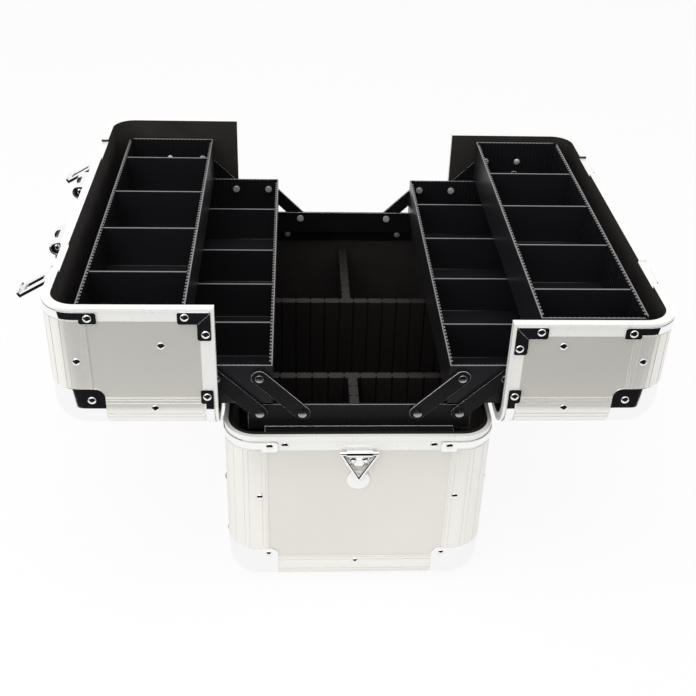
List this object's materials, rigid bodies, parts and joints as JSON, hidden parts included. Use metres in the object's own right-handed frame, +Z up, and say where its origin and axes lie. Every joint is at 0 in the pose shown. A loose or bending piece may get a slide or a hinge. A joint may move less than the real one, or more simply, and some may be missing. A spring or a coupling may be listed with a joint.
{
  "type": "tool case",
  "caption": "Open aluminium-edged tool case: two hinged half lids lift cantilever divider trays off a divided base, with folding handle, hooked latches and strap rings.",
  "frame": {"origin": "middle of the underside of the base", "axes": "+X across the case to the right lid, +Y along it to the back end, +Z up"},
  "size_m": [0.5443, 0.413, 0.2968],
  "materials": {
    "panel": "satin",
    "extrusion": "satin ribbed",
    "chrome": "polished",
    "rivet": "polished",
    "steel": "bright zinc",
    "black_steel": "black, bare edges",
    "lining": "dark grey",
    "tray": "black",
    "divider": "black",
    "bumper": "pale",
    "grip": "black"
  },
  "bodies": {
    "base": {"base_end_panels": "panel", "base_side_panels": "panel", "base_bottom_panel": "panel", "base_corner_posts": "extrusion", "base_bottom_edges": "extrusion", "base_ball_corners": "chrome", "base_lining": "lining", "base_rim": "extrusion", "base_rim_clips": "chrome", "base_rivets": "rivet", "front_arm_plate": "black_steel", "back_arm_plate": "black_steel", "base_dividers": "divider", "base_hinge_leaves": "steel", "hinge_pins": "steel", "strap_plates": "chrome", "strap_bumpers": "bumper"},
    "front_strap_ring": {"front_strap_ring": "chrome"},
    "back_strap_ring": {"back_strap_ring": "chrome"},
    "left_lid": {"left_lid_panels": "panel", "left_lid_edges": "extrusion", "left_lid_ball_corners": "chrome", "left_lid_lining": "lining", "left_lid_rim": "extrusion", "left_lid_brackets": "chrome", "left_lid_rivets": "rivet", "left_tray_studs": "steel", "left_lid_hinge_leaf": "steel", "handle_brackets": "chrome", "latch_plates": "chrome"},
    "right_lid": {"right_lid_panels": "panel", "right_lid_edges": "extrusion", "right_lid_ball_corners": "chrome", "right_lid_lining": "lining", "right_lid_rim": "extrusion", "right_lid_brackets": "chrome", "right_lid_rivets": "rivet", "right_tray_studs": "steel", "right_lid_hinge_leaf": "steel", "latch_catches": "chrome"},
    "handle": {"handle": "grip"},
    "front_latch_lever": {"front_latch_lever": "chrome"},
    "back_latch_lever": {"back_latch_lever": "chrome"},
    "left_long_arms": {"left_long_arms": "black_steel"},
    "left_short_arms": {"left_short_arms": "black_steel"},
    "left_lower_tray": {"left_lower_tray": "tray", "left_lower_tray_dividers": "divider", "left_lower_tray_rivets": "rivet"},
    "left_upper_tray": {"left_upper_tray": "tray", "left_upper_tray_dividers": "divider", "left_upper_tray_rivets": "rivet"},
    "right_long_arms": {"right_long_arms": "black_steel"},
    "right_short_arms": {"right_short_arms": "black_steel"},
    "right_lower_tray": {"right_lower_tray": "tray", "right_lower_tray_dividers": "divider", "right_lower_tray_rivets": "rivet"},
    "right_upper_tray": {"right_upper_tray": "tray", "right_upper_tray_dividers": "divider", "right_upper_tray_rivets": "rivet"}
  },
  "joints": [
    {"name": "left_lid_hinge", "type": "hinge", "parent": "base", "child": "left_lid", "pos_m": [-0.1172, 0, 0.1733], "axis": [0, 1, 0], "range_deg": [0, 90]},
    {"name": "left_long_arm_pivot", "type": "hinge", "parent": "base", "child": "left_long_arms", "pos_m": [-0.084, 0, 0.1875], "axis": [0, 1, 0], "range_deg": [-1, 91]},
    {"name": "left_short_arm_pivot", "type": "hinge", "parent": "base", "child": "left_short_arms", "pos_m": [-0.0485, 0, 0.1875], "axis": [0, 1, 0], "range_deg": [-1, 91]},
    {"name": "left_lower_tray_pivot", "type": "hinge", "parent": "left_long_arms", "child": "left_lower_tray", "pos_m": [-0.11935, 0, 0.22285], "axis": [0, 1, 0], "range_deg": [-91, 1]},
    {"name": "left_upper_tray_pivot", "type": "hinge", "parent": "left_long_arms", "child": "left_upper_tray", "pos_m": [-0.1547, 0, 0.2582], "axis": [0, 1, 0], "range_deg": [-91, 1]},
    {"name": "right_lid_hinge", "type": "hinge", "parent": "base", "child": "right_lid", "pos_m": [0.1172, 0, 0.1733], "axis": [0, -1, 0], "range_deg": [0, 90]},
    {"name": "right_long_arm_pivot", "type": "hinge", "parent": "base", "child": "right_long_arms", "pos_m": [0.084, 0, 0.1875], "axis": [0, -1, 0], "range_deg": [-1, 91]},
    {"name": "right_short_arm_pivot", "type": "hinge", "parent": "base", "child": "right_short_arms", "pos_m": [0.0485, 0, 0.1875], "axis": [0, -1, 0], "range_deg": [-1, 91]},
    {"name": "right_lower_tray_pivot", "type": "hinge", "parent": "right_long_arms", "child": "right_lower_tray", "pos_m": [0.11935, 0, 0.22285], "axis": [0, -1, 0], "range_deg": [-91, 1]},
    {"name": "right_upper_tray_pivot", "type": "hinge", "parent": "right_long_arms", "child": "right_upper_tray", "pos_m": [0.1547, 0, 0.2582], "axis": [0, -1, 0], "range_deg": [-91, 1]},
    {"name": "handle_pivot", "type": "hinge", "parent": "left_lid", "child": "handle", "pos_m": [-0.2614, 0, 0.282], "axis": [0, 1, 0], "range_deg": [0, 100]},
    {"name": "front_latch_pivot", "type": "hinge", "parent": "left_lid", "child": "front_latch_lever", "pos_m": [-0.2585, -0.115, 0.27875], "axis": [0, 1, 0], "range_deg": [0, 120]},
    {"name": "back_latch_pivot", "type": "hinge", "parent": "left_lid", "child": "back_latch_lever", "pos_m": [-0.2585, 0.115, 0.27875], "axis": [0, 1, 0], "range_deg": [0, 120]},
    {"name": "front_ring_pivot", "type": "hinge", "parent": "base", "child": "front_strap_ring", "pos_m": [0, -0.2033, 0.1576], "axis": [-1, 0, 0], "range_deg": [0, 100]},
    {"name": "back_ring_pivot", "type": "hinge", "parent": "base", "child": "back_strap_ring", "pos_m": [0, 0.2033, 0.1576], "axis": [1, 0, 0], "range_deg": [0, 100]}
  ],
  "couplings": [
    {"joint": "left_long_arm_pivot", "follows": "left_lid_hinge", "ratio": 1},
    {"joint": "left_short_arm_pivot", "follows": "left_lid_hinge", "ratio": 1},
    {"joint": "left_lower_tray_pivot", "follows": "left_lid_hinge", "ratio": -1},
    {"joint": "left_upper_tray_pivot", "follows": "left_lid_hinge", "ratio": -1},
    {"joint": "right_long_arm_pivot", "follows": "right_lid_hinge", "ratio": 1},
    {"joint": "right_short_arm_pivot", "follows": "right_lid_hinge", "ratio": 1},
    {"joint": "right_lower_tray_pivot", "follows": "right_lid_hinge", "ratio": -1},
    {"joint": "right_upper_tray_pivot", "follows": "right_lid_hinge", "ratio": -1}
  ]
}
